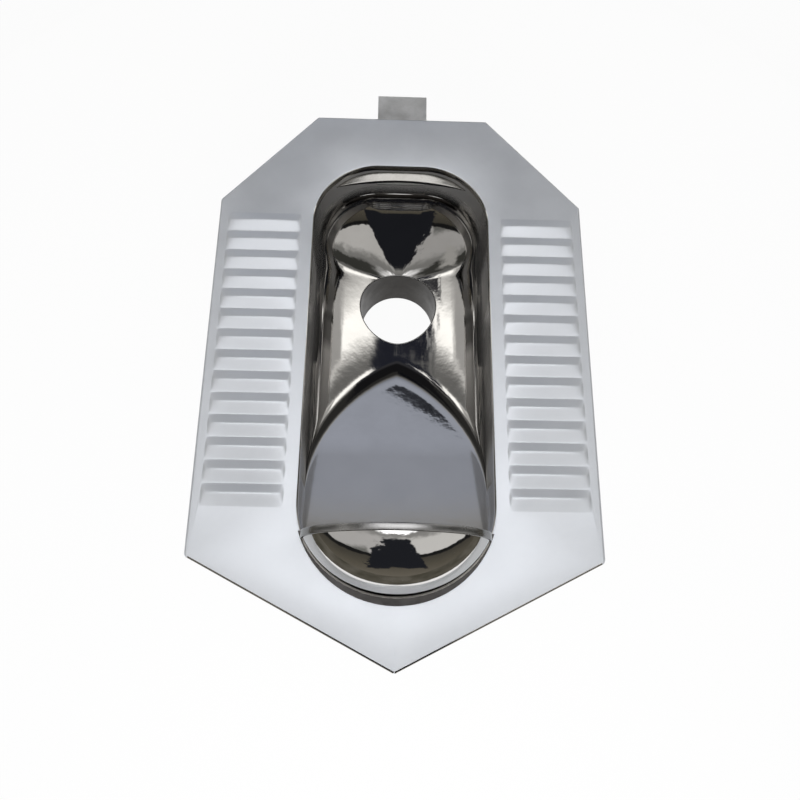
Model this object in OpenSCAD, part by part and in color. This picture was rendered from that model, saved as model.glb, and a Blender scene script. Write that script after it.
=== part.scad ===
// Squat toilet pan of stainless steel: a pressed deck with foot treads, a
// drawn bowl with a ramp, a domed hood at the front and a drain spigot.
// Millimetres. The origin is the centre of the spigot's lower end, +Z is up,
// +Y points to the rear, where the flush water comes in, and -Y to the hood.

/* [Deck] */
// Width of the deck across its straight sides
deck_w = 430; // [424:1:520]
// Width of the deck's rear edge
rear_w = 210; // [190:1:300]
// Length of the cut-off rear corners, along Y
shoulder_l = 123; // [90:1:150]
// Length of the straight sides
side_l = 422; // [405:1:480]
// Length of the front point, along Y
point_l = 110; // [80:1:150]
// Thickness of the deck's sheet
deck_t = 1.2; // [0.8:0.1:2]
// Height of the edge folded down round the deck
skirt_h = 15; // [14.5:0.5:18]
// Radius of the corners at the front ends of the straight sides
corner_r = 6; // [3:1:15]

/* [Treads] */
// Ridges on each foot tread
rib_count = 14; // [6:1:14]
// Distance from one ridge to the next
rib_pitch = 25.2; // [18:0.1:26]
// Length of a ridge, across the deck
rib_l = 87; // [50:1:89]
// Height of a ridge
rib_h = 3.2; // [2:0.1:5]
// Length of the longer, front slope of a ridge
rib_front_l = 14; // [9:0.5:16]
// Distance that a ridge's ends slope in
rib_end_l = 5; // [2:0.5:12]
// Flat deck between a ridge's outer end and the deck's side
tread_side_gap = 10.5; // [10:0.5:13]
// Flat deck between the start of the straight side and the first ridge
tread_margin = 18; // [8:1:24]

/* [Bowl] */
// Clear width of the opening
bowl_w = 206; // [180:1:208]
// Clear length of the opening
bowl_l = 516; // [480:1:530]
// Radius of the opening's rear corners
rear_corner_r = 77; // [50:1:88]
// Distance from the opening's rear end to the drain's axis
drain_to_rear = 131.5; // [120:0.5:145]
// Distance from the deck's rear edge to the drain's axis
drain_to_edge = 203; // [190:1:225]
// Depth of the deck's turned-down rim, where the bowl starts
rim_drop = 8; // [6:0.5:9]
// Depth at which the straight wall ends and the curved bottom starts
wall_h = 68; // [56:1:72]
// The same depth at the bowl's rear end
rear_wall_h = 50; // [44:1:56]
// Shape of the curved bottom: 1 is an oval, more brings it nearer to a V
bottom_point = 1.6; // [1:0.05:1.6]
// Distance from the drain's axis to the rear end of the bowl's deepest line
bottom_rear = 40; // [25:1:44]
// Depth of the bowl at its deepest, below the deck
bowl_depth = 125; // [110:1:150]
// Depth of the ramp at the bowl's front end
ramp_end_depth = 14; // [12:1:24]
// Slope of the ramp in degrees
ramp_slope = 20.5; // [17:0.5:22]
// Roundness where the ramp meets the curved bottom
ramp_blend = 8; // [4:1:16]
// Thickness of the bowl's sheet
bowl_t = 1.2; // [0.8:0.1:2]

/* [Drain] */
// Outside diameter of the spigot
spigot_d = 100; // [80:1:110]
// Wall of the spigot
spigot_t = 1.2; // [1:0.1:3]
// Length of the spigot below the bowl
spigot_l = 63; // [40:1:120]
// Width of the bead round the spigot that stops the trap's socket
stop_bead_w = 2; // [1.5:0.5:4]
// Height of this bead
stop_bead_h = 1.5; // [1:0.5:3]
// Width of the weld round the spigot
spigot_weld_w = 3; // [2:0.5:5]

/* [Hood] */
// Length of the hood over the opening, from its front end to the lip
hood_l = 70; // [60:1:90]
// Height of the hood above the deck
hood_h = 60; // [45:1:90]
// Thickness of the hood's sheet
hood_t = 1.2; // [0.8:0.1:2]
// Distance from the opening's front end back to the dome's foot
foot_inset = 5; // [2:0.5:10]
// Reach of the foot flange over the deck
flange_reach = 2; // [1:0.5:5]
// Thickness of the foot flange
flange_t = 1.2; // [0.8:0.1:2]
// Width of the bead along the dome's foot
foot_bead = 1.2; // [0.8:0.1:2]
// Width of the folded band along the lip
lip_w = 8; // [5:0.5:14]
// Thickness of the folded band
lip_t = 2.6; // [1.6:0.1:4]
// Height of the band over the dome's skin
lip_rise = 0.8; // [0.2:0.1:1.5]

/* [Flush inlet] */
// Outside width of the flat inlet duct
inlet_w = 62; // [40:1:90]
// Outside height of the inlet duct
inlet_h = 24; // [16:1:28]
// Wall of the inlet duct
inlet_t = 1.2; // [0.8:0.1:2]
// Length of the duct that stands out behind the deck
inlet_out = 47; // [20:1:120]
// Width of the weld round the duct
inlet_weld_w = 3; // [2:0.5:4]
// Greatest width of the spreader shelf over the inlet
spreader_w = 12; // [8:0.5:18]
// Radius of the shelf's inner edge
spreader_r = 330; // [250:5:500]
// Thickness of the shelf
spreader_t = 1.2; // [0.8:0.1:2]

/* [Supports] */
// Depth of the tray under each tread
tray_h = 12.5; // [9:0.5:12.5]
// Thickness of the tray's sheet
tray_t = 1.5; // [1:0.1:2]
// Width of the tray's flanges
tray_flange = 8; // [6:0.5:8]
// Distance from the tray's ends back from the ends of the treads
tray_end_gap = 6; // [0:1:30]
// Width of an anchor lug
lug_w = 25; // [20:1:40]
// Length of a lug's flat leg, under the deck
lug_foot = 24; // [20:1:30]
// Length of a lug's hanging leg
lug_drop = 55; // [40:1:90]
// Thickness of a lug
lug_t = 2; // [1.5:0.1:3]
// Diameter of the hole in a lug
lug_hole_d = 10; // [6:0.5:12]
// Distance from a lug's lower end to the middle of its hole
lug_hole_up = 14; // [10:1:20]
// Distance of the rear lugs from the centre line
rear_lug_x = 84; // [76:1:88]
// Distance of the rear lugs' legs from the deck's rear edge
rear_lug_in = 10; // [6:1:16]
// Distance of the front lugs from the centre line
front_lug_x = 140; // [132:1:146]
// Distance of the front lugs' legs in front of the treads
front_lug_gap = 36; // [30:1:42]

/* [Welds] */
// Width of the weld under the bowl's rim
rim_weld_w = 2; // [1:0.5:2]
// Height of the weld under the bowl's rim
rim_weld_h = 4; // [2:0.5:4]
// Size of the bead in each corner of the folded edge
corner_bead = 3; // [2.5:0.5:5]

/* [Hidden] */
$fn = 96;

// gap left where a bent or round piece lies against another
seat_gap = 0.1;
// reach of a cutting shape past the face that it cuts
over = 1;
// length of the spigot's outside that a socket can cover, up to the stop bead
spigot_free_l = floor(spigot_l - bowl_t - spigot_weld_w - stop_bead_w);

// heights
deck_z = spigot_l + bowl_depth;
under_deck_z = deck_z - deck_t;
skirt_z = deck_z - skirt_h;
rim_z = deck_z - rim_drop;
hood_z = deck_z + flange_t;

// places along Y
shoulder_y = drain_to_edge - shoulder_l;
side_end_y = shoulder_y - side_l;
tip_y = side_end_y - point_l;
tread_rear_y = shoulder_y - tread_margin;
tread_front_y = tread_rear_y - rib_count * rib_pitch;
open_rear_y = drain_to_rear;
open_front_y = open_rear_y - bowl_l;
mouth_y = open_front_y + hood_l;

// the opening has a half circle at the front and two round corners at the rear
open_r = bowl_w / 2;
front_c_y = open_front_y + open_r;
rear_c_x = open_r - rear_corner_r;
rear_c_y = open_rear_y - rear_corner_r;
// the bowl's curved bottom closes on a line between these two places
spine_front_y = front_c_y;
spine_rear_y = bottom_rear;

// middle of a tread, across the deck
tread_x = deck_w / 2 - tread_side_gap - rib_l / 2;

// steps along the opening's outline and down the bowl
front_steps = 14;
side_steps = 9;
corner_steps = 9;
flat_steps = 2;
bottom_steps = 13;
half_steps = front_steps + side_steps + corner_steps + flat_steps;
loop_n = 2 * half_steps;
bowl_rings = bottom_steps + 2;
// last angle of the curved bottom, where only a narrow strip is left
bottom_turn = 83;

// steps along the hood's foot and up its dome
foot_steps = 32;
dome_steps = 12;

// the dome's foot follows an oval
foot_a = open_r + flange_reach;
foot_b = open_r - foot_inset;
// plane where the dome ends and the band of the lip starts
dome_end_y = mouth_y - lip_w;

satin_steel = [0.76, 0.78, 0.81];
mirror_steel = [0.55, 0.55, 0.54];
raw_steel = [0.63, 0.64, 0.64];
weld_steel = [0.48, 0.45, 0.41];

// ------------------------------------------------------------ outlines

function turned(v) = [-v[1], v[0]] / norm(v);

// a convex outline's corner, moved in from both its sides by the same distance
function inset_corner(before, corner, after, distance) =
    let (n1 = turned(corner - before), n2 = turned(after - corner))
    corner + distance * (n1 + n2) / (1 + n1 * n2);

// corners of the deck, counted anticlockwise from the front tip
function deck_corners() = [
    [0, tip_y],
    [deck_w / 2, side_end_y],
    [deck_w / 2, shoulder_y],
    [rear_w / 2, drain_to_edge],
    [-rear_w / 2, drain_to_edge],
    [-deck_w / 2, shoulder_y],
    [-deck_w / 2, side_end_y]
];

function deck_corners_inset(distance) =
    let (c = deck_corners(), n = len(c))
    [for (i = [0 : n - 1])
        inset_corner(c[(i + n - 1) % n], c[i], c[(i + 1) % n], distance)];

// points of the arc that rounds one corner of an outline
function corner_arc(before, corner, after, radius, steps) =
    let (
        u = (before - corner) / norm(before - corner),
        v = (after - corner) / norm(after - corner),
        half = acos(u * v) / 2,
        middle = corner + (u + v) / norm(u + v) * radius / sin(half),
        first = corner + u * radius / tan(half) - middle,
        last = corner + v * radius / tan(half) - middle,
        turn = 180 - 2 * half
    )
    [for (i = [0 : steps])
        middle + (first * sin(turn * (1 - i / steps)) + last * sin(turn * i / steps))
            / sin(turn)];

// outline of the deck, drawn in by a distance, with its two side corners round
module deck_outline(distance = 0) {
    c = deck_corners_inset(distance);
    r = max(corner_r - distance, 0.5);
    right = corner_arc(c[0], c[1], c[2], r, 6);
    left = corner_arc(c[5], c[6], c[0], r, 6);
    polygon(concat([c[0]], right, [c[2], c[3], c[4], c[5]], left));
}

// the opening through the deck, grown by a distance
module opening(grow = 0) {
    translate([0, front_c_y]) circle(r = open_r + grow);
    translate([-open_r - grow, front_c_y])
        square([bowl_w + 2 * grow, rear_c_y - front_c_y]);
    translate([-rear_c_x, rear_c_y])
        square([2 * rear_c_x, rear_corner_r + grow]);
    for (side = [-1, 1])
        translate([side * rear_c_x, rear_c_y]) circle(r = rear_corner_r + grow);
}

// right half of the opening's outline as points, from the front to the rear
function half_outline(grow) =
    let (r = open_r + grow, rc = rear_corner_r + grow)
    concat(
        [for (i = [0 : front_steps - 1])
            let (a = 90 * i / front_steps)
            [r * sin(a), front_c_y - r * cos(a)]],
        [for (i = [0 : side_steps - 1])
            [r, front_c_y + (rear_c_y - front_c_y) * i / side_steps]],
        [for (i = [0 : corner_steps - 1])
            let (a = 90 * i / corner_steps)
            [rear_c_x + rc * cos(a), rear_c_y + rc * sin(a)]],
        [for (i = [0 : flat_steps])
            [rear_c_x * (1 - i / flat_steps), open_rear_y + grow]]
    );

function whole_outline(grow) =
    let (half = half_outline(grow))
    concat(half, [for (i = [half_steps - 1 : -1 : 1]) [-half[i][0], half[i][1]]]);

// ---------------------------------------------------------------- deck

// saw-tooth section of a tread, standing on a level
function tread_section(level) = concat(
    [[tread_rear_y, level - over], [tread_rear_y, level]],
    [for (i = [0 : rib_count - 1]) each [
        [tread_rear_y - i * rib_pitch - (rib_pitch - rib_front_l), level + rib_h],
        [tread_rear_y - (i + 1) * rib_pitch, level]
    ]],
    [[tread_front_y, level - over]]
);

// all ridges of one tread, with ends that slope down to the deck
module tread_ridges(x, level) {
    intersection() {
        translate([x - rib_l / 2, 0, 0])
            rotate([90, 0, 90])
                linear_extrude(rib_l) polygon(tread_section(level));
        translate([x, tread_rear_y + over, level])
            rotate([90, 0, 0])
                linear_extrude(rib_count * rib_pitch + 2 * over)
                    polygon([
                        [-rib_l / 2, -over],
                        [-rib_l / 2, 0],
                        [-rib_l / 2 + rib_end_l, rib_h + over],
                        [rib_l / 2 - rib_end_l, rib_h + over],
                        [rib_l / 2, 0],
                        [rib_l / 2, -over]
                    ]);
    }
}

module deck_plate() {
    color(satin_steel)
    difference() {
        union() {
            translate([0, 0, under_deck_z])
                linear_extrude(deck_t) deck_outline();
            translate([0, 0, skirt_z])
                linear_extrude(skirt_h)
                    difference() {
                        deck_outline();
                        deck_outline(deck_t);
                    }
            translate([0, 0, rim_z])
                linear_extrude(rim_drop) opening(deck_t);
            for (side = [-1, 1]) tread_ridges(side * tread_x, deck_z);
        }
        translate([0, 0, rim_z - over])
            linear_extrude(rim_drop + 2 * over) opening();
        for (side = [-1, 1]) tread_ridges(side * tread_x, under_deck_z);
    }
}

// beads inside the folded edge's mitred corners
module edge_corner_welds() {
    color(weld_steel)
    translate([0, 0, skirt_z])
        linear_extrude(skirt_h - deck_t)
            for (corner = deck_corners_inset(deck_t))
                intersection() {
                    translate(corner) circle(r = corner_bead);
                    deck_outline(deck_t);
                }
}

// ---------------------------------------------------------------- bowl

// the higher of two levels, with a round hollow where they meet
function blend_max(a, b, width) =
    max(a, b) + pow(max(width - abs(a - b), 0), 2) / (4 * width);

function ramp_level(y) =
    deck_z - ramp_end_depth - (y - open_front_y) * tan(ramp_slope);

// depth of the straight wall beside a place on the outline, less at the rear
function straight_wall(y) =
    let (back = min(max((y - spine_rear_y) / (open_rear_y - spine_rear_y), 0), 1))
    wall_h - (wall_h - rear_wall_h) * back * back * (3 - 2 * back);

// ring of the bowl's skin: ring 0 is the upper edge, ring 1 the end of the
// straight wall, and the rest close in along the curved bottom
function bowl_ring(ring, grow) =
    let (
        turn = ring < 2 ? 0 : bottom_turn * (ring - 1) / bottom_steps,
        reach = pow(cos(turn), bottom_point),
        sink = sin(turn) / sin(bottom_turn)
    )
    [for (p = whole_outline(grow))
        let (
            spine_y = min(max(p[1], spine_front_y), spine_rear_y),
            y = spine_y + (p[1] - spine_y) * reach,
            foot = straight_wall(p[1]),
            curve_z = deck_z - foot - (bowl_depth + grow - foot) * sink,
            floor_z = ramp_level(y) - grow / cos(ramp_slope)
        )
        [p[0] * reach, y,
            ring == 0 ? rim_z : blend_max(curve_z, floor_z, ramp_blend)]];

function bowl_skin(grow) = [for (ring = [0 : bowl_rings - 1]) each bowl_ring(ring, grow)];

// faces between neighbouring rings, for points that start at number first
function ring_faces(first, flip) =
    [for (ring = [0 : bowl_rings - 2], i = [0 : loop_n - 1])
        let (
            a = first + ring * loop_n + i,
            b = first + ring * loop_n + (i + 1) % loop_n,
            c = b + loop_n,
            d = a + loop_n
        )
        each flip ? [[a, c, b], [a, d, c]] : [[a, b, c], [a, c, d]]];

// faces that close the narrow strip inside the last ring
function strip_faces(first, flip) =
    let (start = first + (bowl_rings - 1) * loop_n)
    concat(
        [for (i = [0 : half_steps - 2])
            let (a = start + i, b = start + i + 1, c = start + loop_n - 1 - i)
            flip ? [a, c, b] : [a, b, c]],
        [for (i = [1 : half_steps - 1])
            let (a = start + i, c = start + loop_n - 1 - i, d = start + loop_n - i)
            flip ? [a, d, c] : [a, c, d]]
    );

// faces over the upper edge, between two skins or across one
function edge_faces(inner, outer) =
    [for (i = [0 : loop_n - 1])
        let (j = (i + 1) % loop_n)
        each [[inner + i, outer + j, inner + j], [inner + i, outer + i, outer + j]]];

function lid_faces(first) =
    concat(
        [for (i = [0 : half_steps - 2]) [first + i, first + loop_n - 1 - i, first + i + 1]],
        [for (i = [1 : half_steps - 1])
            [first + i, first + loop_n - i, first + loop_n - 1 - i]]
    );

// the drawn shell, still without its holes
module bowl_shell() {
    skin_n = bowl_rings * loop_n;
    polyhedron(
        points = concat(bowl_skin(0), bowl_skin(bowl_t)),
        faces = concat(
            ring_faces(0, true), strip_faces(0, true),
            ring_faces(skin_n, false), strip_faces(skin_n, false),
            edge_faces(0, skin_n)
        ),
        convexity = 6
    );
}

// everything inside one skin of the bowl, as one solid
module bowl_block(grow) {
    polyhedron(
        points = bowl_skin(grow),
        faces = concat(ring_faces(0, false), strip_faces(0, false), lid_faces(0)),
        convexity = 6
    );
}

module bowl() {
    color(mirror_steel)
    difference() {
        bowl_shell();
        translate([0, 0, -over])
            cylinder(d = spigot_d + 2 * seat_gap, h = deck_z - wall_h + over);
        translate([-inlet_w / 2 + inlet_t, open_rear_y - rear_corner_r / 2,
                   skirt_z - inlet_h + inlet_t])
            cube([inlet_w - 2 * inlet_t, rear_corner_r / 2 + bowl_t + over,
                  inlet_h - 2 * inlet_t]);
    }
}

// weld behind the joint of the deck's rim and the bowl
module bowl_rim_weld() {
    inner = max(deck_t, bowl_t);
    color(weld_steel)
    translate([0, 0, rim_z - rim_weld_h / 2])
        linear_extrude(rim_weld_h)
            difference() {
                opening(inner + rim_weld_w);
                opening(inner);
            }
}

// --------------------------------------------------------------- drain

module drain_spigot() {
    color(mirror_steel)
    difference() {
        union() {
            cylinder(d = spigot_d, h = deck_z - wall_h);
            translate([0, 0, spigot_free_l])
                cylinder(d = spigot_d + 2 * stop_bead_h, h = stop_bead_w);
        }
        translate([0, 0, -over])
            cylinder(d = spigot_d - 2 * spigot_t, h = deck_z);
        bowl_block(0);
    }
}

// weld under the bowl, round the spigot
module drain_weld() {
    color(weld_steel)
    difference() {
        intersection() {
            cylinder(d = spigot_d + 2 * spigot_weld_w, h = deck_z - wall_h);
            translate([0, 0, -spigot_weld_w]) bowl_block(bowl_t);
        }
        bowl_block(bowl_t);
        translate([0, 0, -over]) cylinder(d = spigot_d, h = deck_z);
    }
}

// ---------------------------------------------------------------- hood

// angle along the foot's oval at which it meets the plane of the dome's end
function foot_start(y, b) = asin((front_c_y - y) / b);

// ring of the dome, from its foot up to the highest point of the lip
function dome_ring(step, grow) =
    let (
        a = foot_a + grow,
        b = foot_b + grow,
        start = foot_start(dome_end_y, b),
        rise = 90 * step / dome_steps
    )
    [for (i = [0 : foot_steps])
        let (
            turn = start + (180 - 2 * start) * i / foot_steps,
            x = -a * cos(turn),
            y = front_c_y - b * sin(turn)
        )
        [x * cos(rise), dome_end_y + (y - dome_end_y) * cos(rise),
            hood_z + (hood_h - flange_t + grow) * sin(rise)]];

module hood() {
    row = foot_steps + 1;
    skin_n = dome_steps * row + 1;
    outer = concat([for (k = [0 : dome_steps - 1]) each dome_ring(k, 0)],
                   [[0, dome_end_y, deck_z + hood_h]]);
    inner = concat([for (k = [0 : dome_steps - 1]) each dome_ring(k, -hood_t)],
                   [[0, dome_end_y, deck_z + hood_h - hood_t]]);
    outer_faces = concat(
        [for (k = [0 : dome_steps - 2], i = [0 : foot_steps - 1])
            let (a = k * row + i)
            each [[a, a + row + 1, a + 1], [a, a + row, a + row + 1]]],
        [for (i = [0 : foot_steps - 1])
            let (a = (dome_steps - 1) * row + i)
            [a, skin_n - 1, a + 1]]
    );
    inner_faces = [for (f = outer_faces) [f[0] + skin_n, f[2] + skin_n, f[1] + skin_n]];
    foot_faces = [for (i = [0 : foot_steps - 1])
        each [[i, i + 1, skin_n + i + 1], [i, skin_n + i + 1, skin_n + i]]];
    end_faces = [for (k = [0 : dome_steps - 1])
        let (
            a = k * row,
            b = k == dome_steps - 1 ? skin_n - 1 : (k + 1) * row,
            c = k * row + foot_steps,
            d = k == dome_steps - 1 ? skin_n - 1 : (k + 1) * row + foot_steps
        )
        each [
            [a, skin_n + a, skin_n + b], [a, skin_n + b, b],
            [c, skin_n + d, skin_n + c], [c, d, skin_n + d]
        ]];
    color(mirror_steel)
    polyhedron(points = concat(outer, inner),
               faces = concat(outer_faces, inner_faces, foot_faces, end_faces),
               convexity = 4);
}

// half width of the dome's foot at the middle of the lip's band
arch_a = foot_a * cos(foot_start(mouth_y - lip_w / 2, foot_b));
arch_steps = 64;

function arch(grow) =
    [for (i = [0 : arch_steps])
        let (turn = 180 * i / arch_steps)
        [(arch_a + grow) * cos(turn), hood_z + (hood_h - flange_t + grow) * sin(turn)]];

function backwards(list) = [for (i = [len(list) - 1 : -1 : 0]) list[i]];

// folded band along the lip
module hood_lip() {
    color(mirror_steel)
    translate([0, mouth_y, 0])
        rotate([90, 0, 0])
            linear_extrude(lip_w)
                polygon(concat(arch(lip_rise), backwards(arch(lip_rise - lip_t))));
}

function foot_oval(grow) =
    [for (i = [0 : 2 * foot_steps - 1])
        let (turn = 180 * i / foot_steps)
        [(foot_a + grow) * cos(turn), front_c_y + (foot_b + grow) * sin(turn)]];

// half plane in front of a place along Y
module in_front_of(y) {
    translate([-deck_w / 2, y - deck_w]) square([deck_w, deck_w]);
}

// flat polished flange between the dome's foot and the deck
module hood_foot_flange() {
    color(mirror_steel)
    translate([0, 0, deck_z])
        linear_extrude(flange_t)
            intersection() {
                difference() {
                    opening(flange_reach + foot_bead);
                    polygon(foot_oval(-lip_t));
                }
                in_front_of(mouth_y);
            }
}

// ground bead along the dome's foot
module hood_foot_bead() {
    color(weld_steel)
    translate([0, 0, hood_z])
        linear_extrude(foot_bead)
            intersection() {
                difference() {
                    polygon(foot_oval(foot_bead));
                    polygon(foot_oval(0));
                }
                in_front_of(dome_end_y);
            }
}

// --------------------------------------------------------- flush inlet

module flush_inlet() {
    color(raw_steel)
    difference() {
        translate([-inlet_w / 2, rear_c_y, skirt_z - inlet_h])
            cube([inlet_w, drain_to_edge + inlet_out - rear_c_y, inlet_h]);
        translate([-inlet_w / 2 + inlet_t, rear_c_y - over, skirt_z - inlet_h + inlet_t])
            cube([inlet_w - 2 * inlet_t, drain_to_edge + inlet_out - rear_c_y + 2 * over,
                  inlet_h - 2 * inlet_t]);
        translate([0, 0, skirt_z - inlet_h - over])
            linear_extrude(inlet_h + 2 * over) opening(bowl_t);
    }
}

// weld between the duct and the bowl's rear wall
module inlet_weld() {
    color(weld_steel)
    difference() {
        translate([-inlet_w / 2 - inlet_weld_w, rear_c_y,
                   skirt_z - inlet_h - inlet_weld_w])
            cube([inlet_w + 2 * inlet_weld_w,
                  open_rear_y + bowl_t + inlet_weld_w - rear_c_y,
                  inlet_h + 2 * inlet_weld_w]);
        translate([-inlet_w / 2, rear_c_y - over, skirt_z - inlet_h])
            cube([inlet_w, rear_corner_r + bowl_t + inlet_weld_w + 2 * over, inlet_h]);
        translate([0, 0, skirt_z - inlet_h - inlet_weld_w - over])
            linear_extrude(inlet_h + 2 * inlet_weld_w + 2 * over) opening(bowl_t);
    }
}

// shelf across the bowl's rear end, which throws the flush water down
module flush_spreader() {
    color(mirror_steel)
    translate([0, 0, skirt_z])
        linear_extrude(spreader_t)
            difference() {
                intersection() {
                    opening(-2 * seat_gap);
                    translate([-open_r, rear_c_y]) square([bowl_w, rear_corner_r]);
                }
                translate([0, open_rear_y - spreader_w - spreader_r])
                    circle(r = spreader_r, $fn = 360);
            }
}

// ------------------------------------------------------------ supports

// open tray under one tread, welded to the flat deck on both sides of it
module tread_tray(side) {
    top = under_deck_z;
    low = top - tray_h;
    half = rib_l / 2;
    tray_l = rib_count * rib_pitch - 2 * tray_end_gap;
    color(raw_steel)
    translate([side * tread_x, tread_rear_y - tray_end_gap, 0])
        rotate([90, 0, 0])
            linear_extrude(tray_l)
                polygon([
                    [-half - tray_flange, top],
                    [-half + tray_t, top],
                    [-half + tray_t, low + tray_t],
                    [half - tray_t, low + tray_t],
                    [half - tray_t, top],
                    [half + tray_flange, top],
                    [half + tray_flange, top - tray_t],
                    [half, top - tray_t],
                    [half, low],
                    [-half, low],
                    [-half, top - tray_t],
                    [-half - tray_flange, top - tray_t]
                ]);
}

module tread_support_left() { tread_tray(-1); }

module tread_support_right() { tread_tray(1); }

// bent lug: a flat leg under the deck and a hanging leg with a hole.
// The hanging leg's outer face lies at y, and the flat leg runs in from it.
module anchor_lug(x, y, inward) {
    color(raw_steel)
    translate([x, y, under_deck_z])
        difference() {
            union() {
                translate([-lug_w / 2, inward > 0 ? 0 : -lug_foot, -lug_t])
                    cube([lug_w, lug_foot, lug_t]);
                translate([-lug_w / 2, inward > 0 ? 0 : -lug_t, -lug_drop])
                    cube([lug_w, lug_t, lug_drop]);
            }
            translate([0, -lug_foot, lug_hole_up - lug_drop])
                rotate([-90, 0, 0]) cylinder(d = lug_hole_d, h = 2 * lug_foot);
        }
}

rear_lug_y = drain_to_edge - rear_lug_in;
front_lug_y = tread_front_y - front_lug_gap;

module anchor_lug_rear_left() { anchor_lug(-rear_lug_x, rear_lug_y, -1); }

module anchor_lug_rear_right() { anchor_lug(rear_lug_x, rear_lug_y, -1); }

module anchor_lug_front_left() { anchor_lug(-front_lug_x, front_lug_y, 1); }

module anchor_lug_front_right() { anchor_lug(front_lug_x, front_lug_y, 1); }

deck_plate();
edge_corner_welds();
bowl();
bowl_rim_weld();
hood();
hood_lip();
hood_foot_flange();
hood_foot_bead();
drain_spigot();
drain_weld();
flush_inlet();
inlet_weld();
flush_spreader();
tread_support_left();
tread_support_right();
anchor_lug_rear_left();
anchor_lug_rear_right();
anchor_lug_front_left();
anchor_lug_front_right();
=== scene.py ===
import math

import bmesh
import bpy
from mathutils import Matrix, Vector


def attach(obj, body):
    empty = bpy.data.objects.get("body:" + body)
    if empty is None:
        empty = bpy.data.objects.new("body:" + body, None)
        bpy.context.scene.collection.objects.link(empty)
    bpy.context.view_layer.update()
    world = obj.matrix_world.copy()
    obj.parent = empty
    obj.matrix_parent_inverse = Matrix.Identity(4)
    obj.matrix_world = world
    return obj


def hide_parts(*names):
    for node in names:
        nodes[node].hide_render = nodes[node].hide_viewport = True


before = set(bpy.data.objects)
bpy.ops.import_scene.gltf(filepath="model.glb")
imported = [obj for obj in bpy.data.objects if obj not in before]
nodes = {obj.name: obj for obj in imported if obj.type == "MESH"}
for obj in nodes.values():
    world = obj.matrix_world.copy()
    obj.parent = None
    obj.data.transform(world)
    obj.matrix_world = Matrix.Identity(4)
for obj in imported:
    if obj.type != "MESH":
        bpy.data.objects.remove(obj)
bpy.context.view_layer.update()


# The view. The pan is seen from above, a little in front of the hood, by a
# camera whose pitch, turn and roll were worked out from the deck's edges.
camera_pitch = math.radians(70.643)
camera_turn = math.radians(3.533)
camera_roll = math.radians(4.55)
ahead = Vector((math.sin(camera_turn) * math.cos(camera_pitch),
                math.cos(camera_turn) * math.cos(camera_pitch),
                -math.sin(camera_pitch)))
level_right = Vector((math.cos(camera_turn), -math.sin(camera_turn), 0))
level_up = level_right.cross(ahead)
camera_right = level_right * math.cos(camera_roll) + level_up * math.sin(camera_roll)
camera_up = level_up * math.cos(camera_roll) - level_right * math.sin(camera_roll)
lens = bpy.data.cameras.new("view")
lens.sensor_width = 36
lens.lens = 34.2
camera = bpy.data.objects.new("view", lens)
bpy.context.scene.collection.objects.link(camera)
camera.matrix_world = Matrix.Translation((-0.015, -0.4443, 0.9698)) @ Matrix(
    (camera_right, camera_up, -ahead)).transposed().to_4x4()
bpy.context.scene.camera = camera


# The deck. One pressed sheet of satin stainless steel, 1.2 mm thick: its edge
# is folded down all round, the opening's rim is rolled down, and two treads
# of fourteen ridges are pressed up where the feet stand.
deck_top = 0.188
sheet_t = 0.0012
fold_r = 0.003
rim_roll = 0.002
deck_places = ((0, -0.452), (0.215, -0.342), (0.215, 0.080), (0.105, 0.203),
               (-0.105, 0.203), (-0.215, 0.080), (-0.215, -0.342))
skirt_foot = 0.173
open_r = 0.103
rear_r = 0.077
front_centre = -0.2815
rear_centre_x = 0.026
rear_centre_y = 0.0545
open_rear = 0.1315
rim_foot = 0.180
tiny = 1e-5


def pick(piece, kind, test):
    """Selects the verts, edges or faces that pass the test, and nothing else."""
    mesh = bmesh.from_edit_mesh(piece.data)
    for group in (mesh.verts, mesh.edges, mesh.faces):
        for part in group:
            part.select = False
    for part in getattr(mesh, kind):
        if test(part):
            part.select_set(True)
    mesh.select_flush_mode()
    bmesh.update_edit_mesh(piece.data)


def edit(piece):
    bpy.ops.object.select_all(action="DESELECT")
    piece.select_set(True)
    bpy.context.view_layer.objects.active = piece
    bpy.ops.object.mode_set(mode="EDIT")
    bpy.ops.mesh.select_mode(type="VERT")


def leave():
    bpy.ops.object.mode_set(mode="OBJECT")


def named(name):
    piece = bpy.context.object
    piece.name = piece.data.name = name
    bpy.ops.object.transform_apply(location=True, rotation=True, scale=True)
    return piece


def finish_modifiers(piece):
    bpy.ops.object.select_all(action="DESELECT")
    piece.select_set(True)
    bpy.context.view_layer.objects.active = piece
    for modifier in list(piece.modifiers):
        bpy.ops.object.modifier_apply(modifier=modifier.name)


def thickened(piece, thickness):
    """Gives a sheet its thickness, away from the side that its normals face."""
    modifier = piece.modifiers.new("thickness", "SOLIDIFY")
    modifier.thickness = thickness
    modifier.offset = -1


def facing_up(piece, face):
    """Flips all the normals if the given face looks down."""
    if face.normal.z < 0:
        edit(piece)
        bpy.ops.mesh.select_all(action="SELECT")
        bpy.ops.mesh.flip_normals()
        leave()


def new_loop(step=(0, 0, 0)):
    bpy.ops.mesh.extrude_edges_move(TRANSFORM_OT_translate={"value": step})


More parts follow.
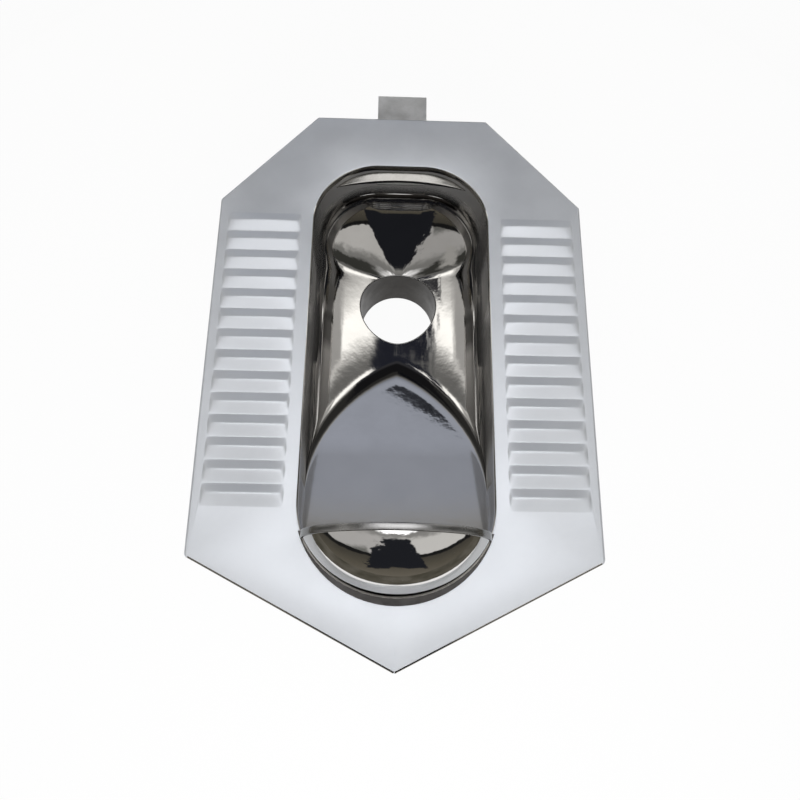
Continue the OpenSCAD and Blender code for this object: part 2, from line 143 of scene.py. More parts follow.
def opening_ring(name, level, side_cuts, flat_cuts):
    """A ring of edges along the opening, left in edit mode."""
    bpy.ops.object.select_all(action="DESELECT")
    bpy.ops.mesh.primitive_circle_add(vertices=160, radius=open_r, location=(0, 0, level))
    ring = named(name)
    edit(ring)
    for side in (-1, 1):
        pick(ring, "verts", lambda v: v.co.y > tiny and v.co.x * side > tiny)
        bpy.ops.transform.resize(value=(rear_r / open_r,) * 3, center_override=(0, 0, level))
        bpy.ops.transform.translate(value=(side * rear_centre_x, rear_centre_y, 0))
    pick(ring, "verts", lambda v: v.co.y > tiny and abs(v.co.x) < tiny)
    bpy.ops.transform.translate(value=(0, open_rear - open_r, 0))
    pick(ring, "verts", lambda v: v.co.y < tiny)
    bpy.ops.transform.translate(value=(0, front_centre, 0))
    pick(ring, "edges", lambda e: e.calc_length() > 0.1)
    bpy.ops.mesh.subdivide(number_cuts=side_cuts)
    pick(ring, "edges", lambda e: e.calc_length() > 0.02 and abs(e.verts[0].co.x) < 0.031)
    bpy.ops.mesh.subdivide(number_cuts=flat_cuts)
    return ring


def grow_opening(ring, level, grown, growth):
    """Moves the ring at a level out from a growth already made to a larger one."""
    def part(inside):
        pick(ring, "verts", lambda v: abs(v.co.z - level) < tiny and inside(v.co))
    front = (open_r + growth) / (open_r + grown)
    rear = (rear_r + growth) / (rear_r + grown)
    part(lambda p: p.y < front_centre - tiny)
    bpy.ops.transform.resize(value=(front, front, 1), center_override=(0, front_centre, level))
    part(lambda p: front_centre - tiny <= p.y <= rear_centre_y)
    bpy.ops.transform.resize(value=(front, 1, 1), center_override=(0, 0, level))
    for side in (-1, 1):
        part(lambda p: p.y > rear_centre_y and p.x * side > rear_centre_x)
        bpy.ops.transform.resize(value=(rear, rear, 1),
                                 center_override=(side * rear_centre_x, rear_centre_y, level))
    part(lambda p: p.y > rear_centre_y and abs(p.x) <= rear_centre_x)
    bpy.ops.transform.translate(value=(0, growth - grown, 0))


# the edge: the outline is folded down and its fold is rounded
bpy.ops.object.select_all(action="DESELECT")
bpy.ops.mesh.primitive_circle_add(vertices=7, radius=0.3, fill_type="NGON",
                                  location=(0, 0, deck_top))
deck = named("deck_sheet")
for vertex, place in zip(deck.data.vertices, deck_places[::-1]):
    vertex.co = (place[0], place[1], deck_top)
edit(deck)
pick(deck, "verts", lambda v: abs(v.co.x) > 0.2 and v.co.y < -0.3)
bpy.ops.mesh.bevel(offset=0.0037, segments=6, affect="VERTICES")
pick(deck, "verts", lambda v: abs(v.co.x) < 0.001 or v.co.y > 0)
bpy.ops.mesh.bevel(offset=0.0012, segments=3, affect="VERTICES")
pick(deck, "edges", lambda e: True)
new_loop((0, 0, skirt_foot - deck_top))
pick(deck, "edges", lambda e: all(v.co.z > deck_top - tiny for v in e.verts))
bpy.ops.mesh.bevel(offset=fold_r, segments=6, affect="EDGES")
bpy.ops.mesh.select_mode(type="FACE")
pick(deck, "faces", lambda f: len(f.verts) > 6)
bpy.ops.mesh.delete(type="ONLY_FACE")
leave()

# the rim: it rises from its foot and rolls over to the deck's level
rim = opening_ring("rim", rim_foot, 16, 3)
bpy.ops.mesh.select_all(action="SELECT")
level = deck_top - rim_roll
new_loop((0, 0, level - rim_foot))
grown = 0
for step in range(1, 5):
    turn = math.radians(90 * step / 4)
    rise = deck_top - rim_roll + rim_roll * math.sin(turn)
    new_loop((0, 0, rise - level))
    grow_opening(rim, rise, grown, rim_roll * (1 - math.cos(turn)))
    pick(rim, "verts", lambda v: abs(v.co.z - rise) < tiny)
    level = rise
    grown = rim_roll * (1 - math.cos(turn))
leave()

# one ridge: a blunt rear slope, a longer flat front slope and soft ends
ridge_l = 0.087
ridge_pitch = 0.0252
ridge_h = 0.0032
ridge_columns = ((0.0435, 0), (0.0423, 0.1), (0.0385, 1))
ridge_rows = ((0, 0), (-0.0010, 0.03), (-0.0104, 1), (-0.0116, 1), (-0.0240, 0.05))
tread_x = 0.161
tread_rear = 0.062
ridge_count = 14
bpy.ops.object.select_all(action="DESELECT")
bpy.ops.mesh.primitive_plane_add(size=1, location=(tread_x, tread_rear - ridge_pitch / 2,
                                                   deck_top))
bpy.context.object.scale = (ridge_l, ridge_pitch, 1)
tread = named("tread")
edit(tread)
for offset, share in ridge_columns[1:]:
    for side in (-1, 1):
        bpy.ops.mesh.select_all(action="SELECT")
        bpy.ops.mesh.bisect(plane_co=(tread_x + side * offset, 0, 0), plane_no=(1, 0, 0))
for row, share in ridge_rows[1:]:
    bpy.ops.mesh.select_all(action="SELECT")
    bpy.ops.mesh.bisect(plane_co=(0, tread_rear + row, 0), plane_no=(0, 1, 0))
for row, row_share in ridge_rows[1:]:
    for offset, column_share in ridge_columns[1:]:
        pick(tread, "verts", lambda v: abs(v.co.y - tread_rear - row) < tiny
             and abs(abs(v.co.x - tread_x) - offset) < tiny)
        bpy.ops.transform.translate(value=(0, 0, ridge_h * row_share * column_share))
leave()
repeat = tread.modifiers.new("ridges", "ARRAY")
repeat.count = ridge_count
repeat.use_relative_offset = False
repeat.use_constant_offset = True
repeat.constant_offset_displace = (0, -ridge_pitch, 0)
repeat.use_merge_vertices = True
repeat.merge_threshold = tiny
soften = tread.modifiers.new("soften", "SUBSURF")
soften.levels = soften.render_levels = 2
soften.boundary_smooth = "PRESERVE_CORNERS"
finish_modifiers(tread)
bpy.ops.object.duplicate()
other_tread = bpy.context.object
other_tread.location.x = -2 * tread_x
other_tread = named("other_tread")

# edge, rim and treads are joined by the flat of the sheet, then thickened
bpy.ops.object.select_all(action="DESELECT")
for piece in (rim, tread, other_tread, deck):
    piece.select_set(True)
bpy.context.view_layer.objects.active = deck
bpy.ops.object.join()
edit(deck)
pick(deck, "edges", lambda e: len(e.link_faces) < 2
     and all(abs(v.co.z - deck_top) < tiny for v in e.verts))
bpy.ops.mesh.fill(use_beauty=True)
bpy.ops.mesh.select_all(action="SELECT")
bpy.ops.mesh.remove_doubles(threshold=2e-6)
bpy.ops.mesh.select_all(action="SELECT")
bpy.ops.mesh.normals_make_consistent(inside=False)
leave()
facing_up(deck, max(deck.data.polygons, key=lambda f: f.area))
thickened(deck, sheet_t)
finish_modifiers(deck)
bpy.ops.object.shade_smooth_by_angle(angle=math.radians(32))
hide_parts("deck_plate")
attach(deck, "root")


def steel(name, color, dark_color, roughness, rough_spread, spot_size, dent, dent_size):
    """Stainless steel whose tone, gloss and flatness vary softly over it."""
    material = bpy.data.materials.new(name)
    material.use_nodes = True
    tree = material.node_tree
    shader = tree.nodes["Principled BSDF"]
    shader.inputs["Metallic"].default_value = 1
    place = tree.nodes.new("ShaderNodeTexCoord")
    spots = tree.nodes.new("ShaderNodeTexNoise")
    spots.inputs["Scale"].default_value = 1 / spot_size
    spots.inputs["Detail"].default_value = 4
    spots.inputs["Roughness"].default_value = 0.6
    tree.links.new(place.outputs["Object"], spots.inputs["Vector"])
    tone = tree.nodes.new("ShaderNodeValToRGB")
    tone.color_ramp.elements[0].position = 0.35
    tone.color_ramp.elements[0].color = (*dark_color, 1)
    tone.color_ramp.elements[1].position = 0.65
    tone.color_ramp.elements[1].color = (*color, 1)
    tree.links.new(spots.outputs["Fac"], tone.inputs["Fac"])
    tree.links.new(tone.outputs["Color"], shader.inputs["Base Color"])
    gloss = tree.nodes.new("ShaderNodeMapRange")
    gloss.inputs["From Min"].default_value = 0.3
    gloss.inputs["From Max"].default_value = 0.7
    gloss.inputs["To Min"].default_value = roughness - rough_spread
    gloss.inputs["To Max"].default_value = roughness + rough_spread
    tree.links.new(spots.outputs["Fac"], gloss.inputs["Value"])
    tree.links.new(gloss.outputs["Result"], shader.inputs["Roughness"])
    waves = tree.nodes.new("ShaderNodeTexNoise")
    waves.inputs["Scale"].default_value = 1 / dent_size
    waves.inputs["Detail"].default_value = 2
    tree.links.new(place.outputs["Object"], waves.inputs["Vector"])
    bump = tree.nodes.new("ShaderNodeBump")
    bump.inputs["Strength"].default_value = 1
    bump.inputs["Distance"].default_value = dent
    tree.links.new(waves.outputs["Fac"], bump.inputs["Height"])
    tree.links.new(bump.outputs["Normal"], shader.inputs["Normal"])
    return material


def dress(piece, material):
    piece.data.materials.clear()
    piece.data.materials.append(material)


satin = steel("satin_steel", (0.88, 0.91, 0.955), (0.84, 0.87, 0.915), 0.40, 0.03,
              0.05, 0.0001, 0.03)
satin.node_tree.nodes["Principled BSDF"].inputs["Metallic"].default_value = 0.65
dress(deck, satin)
# the polished steel is a lighter copy of the bowl's steel below: the same metal, its tone
# raised as painted light
polished = steel("polished_steel", (0.82, 0.81, 0.795), (0.78, 0.77, 0.755), 0.045, 0.015,
                 0.04, 0.00005, 0.012)

# the rolled rim, between its foot and the deck's level, is polished like the bowl
deck.data.materials.append(polished)
for face in deck.data.polygons:
    middle = face.center
    near_opening = abs(middle.x) < 0.12 and -0.40 < middle.y < 0.15
    on_the_roll = rim_foot - tiny < middle.z < deck_top - 0.0001
    if near_opening and on_the_roll and face.area < 1e-3:
        face.material_index = 1


# The beads in the folded edge's corners. Ground weld metal, laid inside each
# corner after folding.
ground_weld = steel("ground_weld", (0.55, 0.53, 0.50), (0.36, 0.34, 0.32), 0.42, 0.08,
                    0.004, 0.0004, 0.003)
dress(nodes["edge_corner_welds"], ground_weld)


# The bowl. A deep-drawn trough of polished stainless steel under the opening,
# with a flat ramp that climbs to the front end under the hood.
wall_foot = 0.120
rear_foot = 0.138
bowl_foot = 0.063
bottom_steps = 24
bottom_point = 1.6
spine_rear = 0.040
ramp_y = -0.3845
ramp_z = 0.174
ramp_fall = math.tan(math.radians(20.5))
ramp_blend = 0.008
drain_r = 0.05
mouth_w = 0.0596
mouth_h = 0.0216
mouth_z = 0.161

bowl = opening_ring("bowl_shell", wall_foot, 60, 4)
bpy.ops.mesh.select_all(action="SELECT")
level = wall_foot
shrink = 1
for step in range(1, bottom_steps + 1):
    turn = math.radians(90 * step / bottom_steps)
    sink = wall_foot - (wall_foot - bowl_foot) * math.sin(turn)
    reach = math.cos(turn) ** bottom_point if step < bottom_steps else 0
    share = reach / shrink
    new_loop((0, 0, sink - level))
    bpy.ops.transform.resize(value=(share, 1, 1), center_override=(0, 0, sink))
    pick(bowl, "verts", lambda v: abs(v.co.z - sink) < 1e-7 and v.co.y < front_centre - tiny)
    bpy.ops.transform.resize(value=(1, share, 1), center_override=(0, front_centre, sink))
    pick(bowl, "verts", lambda v: abs(v.co.z - sink) < 1e-7 and v.co.y > spine_rear)
    bpy.ops.transform.resize(value=(1, share, 1), center_override=(0, spine_rear, sink))
    pick(bowl, "verts", lambda v: abs(v.co.z - sink) < 1e-7)
    level = sink
    shrink = reach
bpy.ops.mesh.select_all(action="SELECT")
bpy.ops.mesh.remove_doubles(threshold=1e-6)
leave()
soften = bowl.modifiers.new("soften", "SUBSURF")
soften.levels = soften.render_levels = 1
finish_modifiers(bowl)
for vertex in bowl.data.vertices:
    sink = (wall_foot - vertex.co.z) / (wall_foot - bowl_foot)
    reach = max(1 - sink * sink, tiny) ** (bottom_point / 2)
    back = (vertex.co.y - spine_rear) / (open_rear - spine_rear) / reach
    back = min(max(back, 0), 1)
    vertex.co.z += (rear_foot - wall_foot) * back * back * (3 - 2 * back) * (1 - sink)
    ramp = ramp_z - (vertex.co.y - ramp_y) * ramp_fall
    near = max(ramp_blend - abs(vertex.co.z - ramp), 0)
    vertex.co.z = max(vertex.co.z, ramp) + near * near / (4 * ramp_blend)
edit(bowl)
pick(bowl, "edges", lambda e: len(e.link_faces) < 2)
new_loop((0, 0, 0))
bpy.ops.transform.resize(value=(1, 1, 0), center_override=(0, 0, rim_foot))
bpy.ops.mesh.select_all(action="SELECT")
bpy.ops.mesh.normals_make_consistent(inside=True)
leave()
facing_up(bowl, min(bowl.data.polygons, key=lambda f: f.center.z))
thickened(bowl, sheet_t)
finish_modifiers(bowl)
bpy.ops.object.select_all(action="DESELECT")
bpy.ops.mesh.primitive_cylinder_add(vertices=160, radius=drain_r + 0.0001, depth=0.1,
                                    location=(0, 0, bowl_foot))
drain_punch = named("drain_punch")
bpy.ops.object.select_all(action="DESELECT")
bpy.ops.mesh.primitive_cube_add(size=1, location=(0, open_rear, mouth_z))
bpy.context.object.scale = (mouth_w, 0.01, mouth_h)
mouth_punch = named("mouth_punch")
for punch in (drain_punch, mouth_punch):
    hole = bowl.modifiers.new("hole", "BOOLEAN")
    hole.operation = "DIFFERENCE"
    hole.solver = "EXACT"
    hole.object = punch
finish_modifiers(bowl)
for punch in (drain_punch, mouth_punch):
    bpy.data.objects.remove(punch)
bpy.ops.object.shade_smooth_by_angle(angle=math.radians(35))
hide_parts("bowl")
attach(bowl, "root")


def worked(tree, operation, first, second=0.0):
    """The result of a math node on two numbers or sockets."""
    node = tree.nodes.new("ShaderNodeMath")
    node.operation = operation
    for socket, value in zip(node.inputs, (first, second)):
        if isinstance(value, (int, float)):
            socket.default_value = value
        else:
            tree.links.new(value, socket)
    return node.outputs[0]


def faded(tree, value, start, end, low=0.0, high=1.0):
    """A soft step of the value, from low before the start to high after the end."""
    node = tree.nodes.new("ShaderNodeMapRange")
    node.interpolation_type = "SMOOTHSTEP"
    node.inputs["From Min"].default_value = start
    node.inputs["From Max"].default_value = end
    node.inputs["To Min"].default_value = low
    node.inputs["To Max"].default_value = high
    tree.links.new(value, node.inputs["Value"])
    return node.outputs["Result"]


def within(tree, value, low, high, soft=2.0):
    """1 between two limits of the value and 0 outside, with soft edges."""
    return worked(tree, "MULTIPLY", faded(tree, value, low - soft, low + soft),
                  faded(tree, value, high - soft, high + soft, 1, 0))


def toned(tree, value, stops):
    """The colour of a value on a ramp of stops from -1 to 1."""
    node = tree.nodes.new("ShaderNodeValToRGB")
    while len(node.color_ramp.elements) < len(stops):
        node.color_ramp.elements.new(0.5)
    for stop, (where, color) in zip(node.color_ramp.elements, stops):
        stop.position = where / 2 + 0.5
        stop.color = (*color, 1)
    half = worked(tree, "MULTIPLY_ADD", value, 0.5)
    half.node.inputs[2].default_value = 0.5
    tree.links.new(half, node.inputs["Fac"])
    return node.outputs["Color"]


def mixed(tree, share, first, second):
    """A mix of two colours, each a socket or a plain colour."""
    node = tree.nodes.new("ShaderNodeMix")
    node.data_type = "RGBA"
    tree.links.new(share, node.inputs["Factor"])
    for socket, value in zip((node.inputs[6], node.inputs[7]), (first, second)):
        if isinstance(value, tuple):
            socket.default_value = (*value, 1)
        else:
            tree.links.new(value, socket)
    return node.outputs[2]


def object_axes(tree):
    """The three object coordinates, by name."""
    node = tree.nodes.new("ShaderNodeSeparateXYZ")
    tree.links.new(tree.nodes["Texture Coordinate"].outputs["Object"], node.inputs["Vector"])
    return node.outputs


# the walls are less polished than the bottom, and their colour is a painted
# reflection, lighter beside the drain than at the ends; a dark line along the
# ramp's foot is a painted dark reflection; the stops are shares of wall_reach
# along Y, each with the painted wall tone there
wall_reach = 0.15
wall_reflection_stops = ((-0.90, 0.35), (-0.34, 0.65), (0.06, 0.95), (0.20, 0.32), (1, 0.28))
# the bowl's steel is a darker copy of the polished steel above: the same metal, its tone
# lowered as painted shade
bowl_steel = steel("bowl_steel", (0.62, 0.61, 0.595), (0.58, 0.57, 0.555), 0.045, 0.015,
                   0.04, 0.00005, 0.012)
tree = bowl_steel.node_tree
shader = tree.nodes["Principled BSDF"]
axes = object_axes(tree)
ramp = worked(tree, "ADD", worked(tree, "MULTIPLY", axes["Y"], -ramp_fall),
              ramp_z + ramp_y * ramp_fall)
foot = worked(tree, "MAXIMUM", worked(tree, "ADD", ramp, 0.010), wall_foot)
foot = worked(tree, "ADD", foot, faded(tree, axes["Y"], 0.05, 0.10, 0, 0.03))
# the duller wall, which also carries the painted reflection in its colour
unpolished_painted_wall = faded(tree, worked(tree, "SUBTRACT", axes["Z"], foot), -0.020, 0.012)
# painted dark reflection: a line along the ramp's crease
crease_painted_reflection = within(tree, worked(tree, "SUBTRACT", axes["Z"], ramp), 0.0006, 0.0045, 0.0005)
# painted reflection: the wall's tone along Y
wall_painted_reflection = toned(tree, worked(tree, "DIVIDE", axes["Y"], wall_reach),
                  [(where, (tone, tone * 0.98, tone * 0.96)) for where, tone in wall_reflection_stops])
tone = mixed(tree, unpolished_painted_wall, tree.nodes["Color Ramp"].outputs["Color"], wall_painted_reflection)
tree.links.new(mixed(tree, crease_painted_reflection, tone, (0.16, 0.155, 0.15)), shader.inputs["Base Color"])
tree.links.new(worked(tree, "SUBTRACT", 1.0, worked(tree, "MULTIPLY", unpolished_painted_wall, 0.45)),
               shader.inputs["Metallic"])
tree.links.new(worked(tree, "ADD", worked(tree, "MULTIPLY", unpolished_painted_wall, 0.2),
                      tree.nodes["Map Range"].outputs["Result"]), shader.inputs["Roughness"])
dress(bowl, bowl_steel)
weld = steel("weld_metal", (0.42, 0.40, 0.37), (0.25, 0.23, 0.21), 0.45, 0.1,
             0.003, 0.0005, 0.002)
dress(nodes["bowl_rim_weld"], weld)


# The drain. A tube of stainless steel welded under the hole at the bowl's
# deepest place, with a bead that stops the trap's socket. It is dull outside,
# and its inside is painted near black as painted shade.
tube = steel("tube_steel", (0.62, 0.61, 0.60), (0.54, 0.53, 0.52), 0.40, 0.06,
             0.02, 0.0001, 0.01)
tree = tube.node_tree
axes = object_axes(tree)
squared = [worked(tree, "MULTIPLY", axes[axis], axes[axis]) for axis in ("X", "Y")]
# painted shade: the tube's inside is painted near black
inside = worked(tree, "LESS_THAN", worked(tree, "ADD", *squared), (drain_r - 0.0006) ** 2)
tree.links.new(mixed(tree, inside, tree.nodes["Color Ramp"].outputs["Color"],
                     (0.03, 0.027, 0.024)),
               tree.nodes["Principled BSDF"].inputs["Base Color"])
dress(nodes["drain_spigot"], tube)
dress(nodes["drain_weld"], weld)


# The flush inlet. A flat welded duct that enters the bowl's rear wall, and a
# narrow shelf over its mouth that throws the water down.
dull = steel("dull_steel", (0.90, 0.90, 0.89), (0.78, 0.78, 0.76), 0.42, 0.08,
             0.015, 0.0002, 0.01)
dull.node_tree.nodes["Principled BSDF"].inputs["Metallic"].default_value = 0.65
dress(nodes["flush_inlet"], dull)
dress(nodes["inlet_weld"], weld)
shelf_half = 0.0792
shelf_rear_z = 0.1765
shelf_front_r = 0.33
shelf_front_centre = -0.2105
shelf_lean = 0.24


def rounded(piece, width, segments):
    """Rounds the sharp edges of a thickened sheet."""
    modifier = piece.modifiers.new("rounding", "BEVEL")
    modifier.width = width
    modifier.segments = segments
    modifier.limit_method = "ANGLE"
    modifier.angle_limit = math.radians(60)


# the shelf falls to the front and to its sides, and its front edge rolls down
bpy.ops.object.select_all(action="DESELECT")
bpy.ops.mesh.primitive_grid_add(x_subdivisions=96, y_subdivisions=16, size=2)
shelf = named("spreader_sheet")
for vertex in shelf.data.vertices:
    x = vertex.co.x * shelf_half
    bend = max(abs(x) - rear_centre_x, 0)
    rear_edge = rear_centre_y + math.sqrt(rear_r ** 2 - bend ** 2) - 0.0002
    front_edge = shelf_front_centre + math.sqrt(shelf_front_r ** 2 - x ** 2)
    forward = (1 - vertex.co.y) / 2
    width = rear_edge - front_edge
    drop = forward * width * shelf_lean * (1 - 0.8 * (x / shelf_half) ** 2)
    drop += 0.4 * x * x + 0.0010 * max(forward - 0.8, 0) ** 2 / 0.04
    vertex.co = (x, rear_edge - forward * width, shelf_rear_z - drop)
thickened(shelf, sheet_t)
rounded(shelf, 0.0004, 2)
finish_modifiers(shelf)
bpy.ops.object.shade_smooth_by_angle(angle=math.radians(35))
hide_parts("flush_spreader")
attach(shelf, "root")
# the shelf's steel is a darker copy of the polished steel: painted shade that dims its
# reflection
shelf_shaded_steel = steel("shelf_shaded_steel", (0.36, 0.35, 0.33), (0.30, 0.29, 0.27), 0.16, 0.04,
                    0.02, 0.0001, 0.01)
dress(shelf, shelf_shaded_steel)


# The hood. A deep-drawn quarter dome of polished stainless steel that stands
# on a flat flange, with a folded band along its open edge.
hood_foot_z = 0.1892
hood_h = 0.0588
foot_a = 0.105
foot_b = 0.098
dome_end = -0.3225
mouth_y = -0.3145
dome_steps = 24
bpy.ops.object.select_all(action="DESELECT")
bpy.ops.mesh.primitive_circle_add(vertices=192, radius=1, location=(0, 0, 0))
bpy.context.object.scale = (foot_a, foot_b, 1)
bpy.context.object.location = (0, front_centre, hood_foot_z)
hood = named("hood_dome")
edit(hood)
bpy.ops.mesh.select_all(action="SELECT")
bpy.ops.mesh.bisect(plane_co=(0, dome_end, 0), plane_no=(0, 1, 0), clear_outer=True)
bpy.ops.mesh.select_all(action="SELECT")
level = hood_foot_z
shrink = 1
for step in range(1, dome_steps):
    turn = math.radians(90 * step / dome_steps)
    rise = hood_foot_z + hood_h * math.sin(turn)
    share = math.cos(turn) / shrink
    new_loop((0, 0, rise - level))
    bpy.ops.transform.resize(value=(share, share, 1), center_override=(0, dome_end, rise))
    level = rise
    shrink = math.cos(turn)
new_loop((0, 0, hood_foot_z + hood_h - level))
bpy.ops.transform.resize(value=(0, 0, 1), center_override=(0, dome_end, level))
bpy.ops.mesh.select_all(action="SELECT")
bpy.ops.mesh.remove_doubles(threshold=1e-6)
bpy.ops.mesh.select_all(action="SELECT")
bpy.ops.mesh.normals_make_consistent(inside=False)
leave()
facing_up(hood, max(hood.data.polygons, key=lambda f: f.center.z))
thickened(hood, sheet_t)
finish_modifiers(hood)
bpy.ops.object.shade_smooth_by_angle(angle=math.radians(35))
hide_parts("hood")
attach(hood, "root")
dress(hood, polished)

# the folded band along the dome's edge, with rounded folds
lip_w = 0.008
lip_t = 0.0026
lip_rise = 0.0008
lip_a = foot_a * math.sqrt(1 - ((front_centre - mouth_y + lip_w / 2) / foot_b) ** 2)
bpy.ops.object.select_all(action="DESELECT")
bpy.ops.mesh.primitive_circle_add(vertices=192, radius=1, location=(0, 0, 0),
                                  rotation=(math.radians(90), 0, 0))
bpy.context.object.scale = (lip_a + lip_rise, hood_h + lip_rise, 1)
bpy.context.object.location = (0, mouth_y, hood_foot_z)
lip = named("hood_band")
edit(lip)
bpy.ops.mesh.select_all(action="SELECT")
bpy.ops.mesh.bisect(plane_co=(0, 0, hood_foot_z), plane_no=(0, 0, 1), clear_inner=True)
bpy.ops.mesh.select_all(action="SELECT")
new_loop((0, -lip_w, 0))
bpy.ops.mesh.select_all(action="SELECT")
bpy.ops.mesh.normals_make_consistent(inside=False)
leave()
facing_up(lip, max(lip.data.polygons, key=lambda f: f.center.z))
thickened(lip, lip_t)
rounded(lip, 0.0009, 3)
finish_modifiers(lip)
bpy.ops.object.shade_smooth_by_angle(angle=math.radians(40))
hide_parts("hood_lip")
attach(lip, "root")
# the band's steel is a darker copy of the polished steel: painted shade that dims its
# reflection
lip_steel = steel("lip_steel", (0.50, 0.495, 0.49), (0.42, 0.415, 0.41), 0.24, 0.05,
                  0.02, 0.0001, 0.01)
dress(lip, lip_steel)
# the flange's near-black colour is painted shade, not the steel's own tone
flange = steel("flange_steel", (0.07, 0.067, 0.065), (0.04, 0.038, 0.036), 0.22, 0.05,
               0.02, 0.0001, 0.01)
dress(nodes["hood_foot_flange"], flange)
dress(nodes["hood_foot_bead"], ground_weld)


# The supports. Bare folded steel under the deck: a tray under each tread, and
# four bent lugs with a hole for the anchors.
bare = steel("bare_steel", (0.60, 0.61, 0.62), (0.50, 0.51, 0.52), 0.38, 0.06,
             0.03, 0.0001, 0.02)
for name in ("tread_support_left", "tread_support_right",
             "anchor_lug_rear_left", "anchor_lug_rear_right",
             "anchor_lug_front_left", "anchor_lug_front_right"):
    dress(nodes[name], bare)


# The studio. A pale floor in a white room, and round the pan two things that
# the camera doesn't see but the steel mirrors: a half dome painted with soft
# grey, a bright bar, a window and dark cards, and a low brown wall.
floor_size = 16
dome_r = 8
wall_r = 0.85
wall_h = 0.26


def glowing(name):
    """A material that only gives light: it, its tree, its light and its place."""
    material = bpy.data.materials.new(name)
    material.use_nodes = True
    tree = material.node_tree
    tree.nodes.clear()
    out = tree.nodes.new("ShaderNodeOutputMaterial")
    glow = tree.nodes.new("ShaderNodeEmission")
    tree.links.new(glow.outputs[0], out.inputs["Surface"])
    place = tree.nodes.new("ShaderNodeTexCoord")
    return material, tree, glow, place.outputs["Object"]


def both(tree, first, second):
    return worked(tree, "MULTIPLY", first, second)


# the floor: white to the camera and the mirrors, matte to all other light
bpy.ops.object.select_all(action="DESELECT")
bpy.ops.mesh.primitive_plane_add(size=floor_size, location=(0, 0, 0))
floor = named("floor")
look, tree, glow, place = glowing("floor")
glow.inputs["Color"].default_value = (1, 1, 1, 1)
matte = tree.nodes.new("ShaderNodeBsdfDiffuse")
matte.inputs["Color"].default_value = (0.8, 0.8, 0.8, 1)
ray = tree.nodes.new("ShaderNodeLightPath")
seen = worked(tree, "MAXIMUM", ray.outputs["Is Camera Ray"], ray.outputs["Is Glossy Ray"])
seen = worked(tree, "MAXIMUM", seen, ray.outputs["Is Transmission Ray"])
blend = tree.nodes.new("ShaderNodeMixShader")
tree.links.new(worked(tree, "MULTIPLY", seen, 0.96), blend.inputs["Fac"])
tree.links.new(matte.outputs[0], blend.inputs[1])
tree.links.new(glow.outputs[0], blend.inputs[2])
tree.links.new(blend.outputs[0], tree.nodes["Material Output"].inputs["Surface"])
dress(floor, look)

bpy.ops.object.select_all(action="DESELECT")
bpy.ops.mesh.primitive_uv_sphere_add(segments=64, ring_count=32, radius=dome_r)
dome = named("dome")
edit(dome)
pick(dome, "verts", lambda v: v.co.z < -0.1)
bpy.ops.mesh.delete(type="VERT")
leave()
dome.visible_camera = False
look, tree, glow, place = glowing("dome")
toward = tree.nodes.new("ShaderNodeVectorMath")
toward.operation = "NORMALIZE"
tree.links.new(place, toward.inputs[0])
axes = tree.nodes.new("ShaderNodeSeparateXYZ")
tree.links.new(toward.outputs[0], axes.inputs["Vector"])
leaning = tree.nodes.new("ShaderNodeMapping")
leaning.inputs["Rotation"].default_value = (math.radians(45), 0, 0)
tree.links.new(toward.outputs[0], leaning.inputs["Vector"])
leaning_axes = tree.nodes.new("ShaderNodeSeparateXYZ")
tree.links.new(leaning.outputs["Vector"], leaning_axes.inputs["Vector"])
ragged = tree.nodes.new("ShaderNodeTexNoise")
ragged.inputs["Scale"].default_value = 4
ragged.inputs["Detail"].default_value = 5
ragged.inputs["Roughness"].default_value = 0.65
tree.links.new(toward.outputs[0], ragged.inputs["Vector"])
wander = worked(tree, "SUBTRACT", ragged.outputs["Fac"], 0.5)
height = worked(tree, "ADD", leaning_axes.outputs["Z"], worked(tree, "MULTIPLY", wander, 0.16))
wander = worked(tree, "MULTIPLY", wander, 24)

# sideways and backwards angles, in degrees from straight overhead: across and
# steady are true, side and back wander a little and give ragged edges
slant = worked(tree, "ARCCOSINE", axes.outputs["Z"])
spread = worked(tree, "DIVIDE", worked(tree, "MULTIPLY", slant, 180 / math.pi),
                worked(tree, "MAXIMUM", worked(tree, "SINE", slant), 0.0001))
across = worked(tree, "MULTIPLY", axes.outputs["X"], spread)
steady = worked(tree, "MULTIPLY", axes.outputs["Y"], spread)
side = worked(tree, "ADD", across, wander)
back = worked(tree, "SUBTRACT", steady, wander)
far = worked(tree, "ABSOLUTE", side)

# the sky behind: a bright bar that fades to both sides, then dark, then grey
# with a dark corner; the bar's stops are shares of bar_reach
bar_reach = 60
bar = ((-1.0, 0.50), (0.30, 0.17), (0.375, 0.20), (0.388, 0.32), (0.398, 0.62), (0.408, 1.10),
       (0.42, 1.70), (0.462, 1.75), (0.483, 1.15), (0.505, 0.85), (0.52, 0.70), (0.54, 0.35),
       (0.56, 0.12), (0.77, 0.12), (0.82, 0.50))
sky = toned(tree, worked(tree, "DIVIDE", steady, bar_reach),
            [(where, (tone, tone * 0.985, tone * 0.95)) for where, tone in bar])
bar_ends = both(tree, within(tree, steady, 24.5, 33, 0.7), faded(tree, far, 43, 49))
sky = mixed(tree, bar_ends, sky, (0.50, 0.49, 0.475))
above = both(tree, faded(tree, steady, 48, 51), faded(tree, far, 13, 17, 1, 0))
sky = mixed(tree, above, sky, (0.44, 0.47, 0.55))
corner = worked(tree, "ADD", steady, worked(tree, "MULTIPLY", across, 0.5))
corner = both(tree, above, faded(tree, corner, 60.1, 60.5))
sky = mixed(tree, corner, sky, (0.03, 0.032, 0.04))
beside = both(tree, faded(tree, steady, 50, 54), faded(tree, far, 13, 17))
sky = mixed(tree, beside, sky, (0.50, 0.51, 0.53))

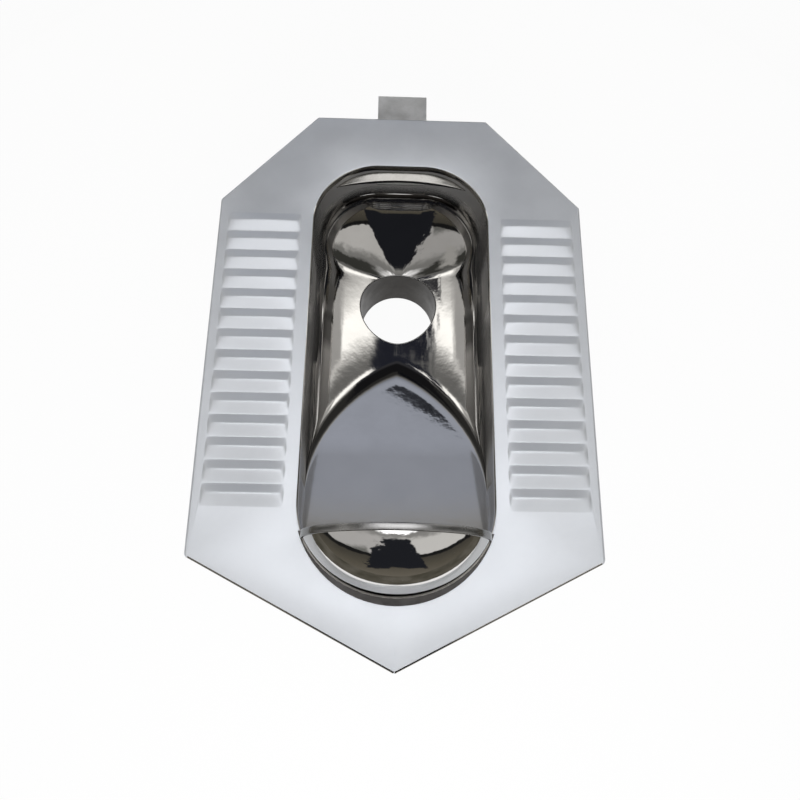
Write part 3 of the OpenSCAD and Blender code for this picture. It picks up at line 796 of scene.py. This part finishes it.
# the sky in front and overhead: two soft patches, dark beams, a bright window
front = faded(tree, back, -12, -4, 1, 0)
front_right = both(tree, front, faded(tree, side, 0, 4))
sky = mixed(tree, front_right, sky, (0.62, 0.61, 0.59))
front_left = both(tree, front, faded(tree, side, -4, 0, 1, 0))
sky = mixed(tree, front_left, sky, (0.46, 0.45, 0.44))
dim = both(tree, faded(tree, back, -34, -24, 1, 0), faded(tree, side, -30, -24, 1, 0))
sky = mixed(tree, dim, sky, (0.16, 0.16, 0.15))
beams = both(tree, within(tree, back, 1, 18), faded(tree, far, 22, 28))
sky = mixed(tree, beams, sky, (0.05, 0.05, 0.045))
patch = both(tree, within(tree, side, -48, -37, 3), within(tree, back, -12, 16, 3))
sky = mixed(tree, patch, sky, (0.45, 0.44, 0.42))
window = both(tree, within(tree, back, 0, 19), faded(tree, far, 10, 26, 1, 0))
sky = mixed(tree, window, sky, (1.9, 1.9, 1.92))

# dark cards: two three-cornered ones behind, a tall one in front, and between
# them the ground's dark edge with brown-grey below it
reach = worked(tree, "ADD", far, worked(tree, "MULTIPLY", back, 1.05))
rear_card = both(tree, faded(tree, reach, 52, 56, 1, 0), within(tree, back, 21, 43, 1.5))
sky = mixed(tree, rear_card, sky, (0.02, 0.022, 0.032))
wide_card = both(tree, faded(tree, reach, 59, 62, 1, 0), within(tree, steady, 28.7, 43, 0.7))
sky = mixed(tree, wide_card, sky, (0.04, 0.04, 0.045))
ground = toned(tree, height, ((-1.0, (0.20, 0.18, 0.15)), (-0.35, (0.10, 0.09, 0.07)),
                              (-0.07, (0.06, 0.055, 0.045)), (-0.045, (0.012, 0.012, 0.012)),
                              (0.04, (0.012, 0.012, 0.012))))
sky = mixed(tree, faded(tree, height, 0.03, 0.05), ground, sky)
reach = worked(tree, "ADD", far, worked(tree, "MULTIPLY", back, 0.4))
front_card = both(tree, faded(tree, reach, 7, 9, 1, 0), within(tree, back, -67, -10))
sky = mixed(tree, front_card, sky, (0.015, 0.016, 0.02))
tree.links.new(sky, glow.inputs["Color"])
dress(dome, look)

# the low wall round the pan
bpy.ops.object.select_all(action="DESELECT")
bpy.ops.mesh.primitive_cylinder_add(vertices=96, radius=wall_r, depth=wall_h,
                                    end_fill_type="NOTHING", location=(0, -0.12, wall_h / 2))
wall = named("wall")
wall.visible_camera = False
look, tree, glow, place = glowing("wall")
patches = tree.nodes.new("ShaderNodeTexNoise")
patches.inputs["Scale"].default_value = 5
tree.links.new(place, patches.inputs["Vector"])
tree.links.new(toned(tree, patches.outputs["Fac"], ((0.35, (0.07, 0.065, 0.05)),
                                                    (0.65, (0.13, 0.12, 0.10)))),
               glow.inputs["Color"])
dress(wall, look)

# a broad soft lamp low in front, which neither camera nor mirrors show
bpy.ops.object.light_add(type="AREA", location=(0, -1.3, 0.75),
                         rotation=(math.radians(57), 0, 0))
lamp = bpy.context.object
lamp.data.energy = 20
lamp.data.size = 0.8
lamp.visible_glossy = False
lamp.visible_camera = False

room = bpy.data.worlds.new("studio")
bpy.context.scene.world = room
room.use_nodes = True
room.node_tree.nodes["Background"].inputs["Color"].default_value = (1, 1, 1, 1)
room.node_tree.nodes["Background"].inputs["Strength"].default_value = 1
bpy.context.scene.view_settings.view_transform = "Standard"
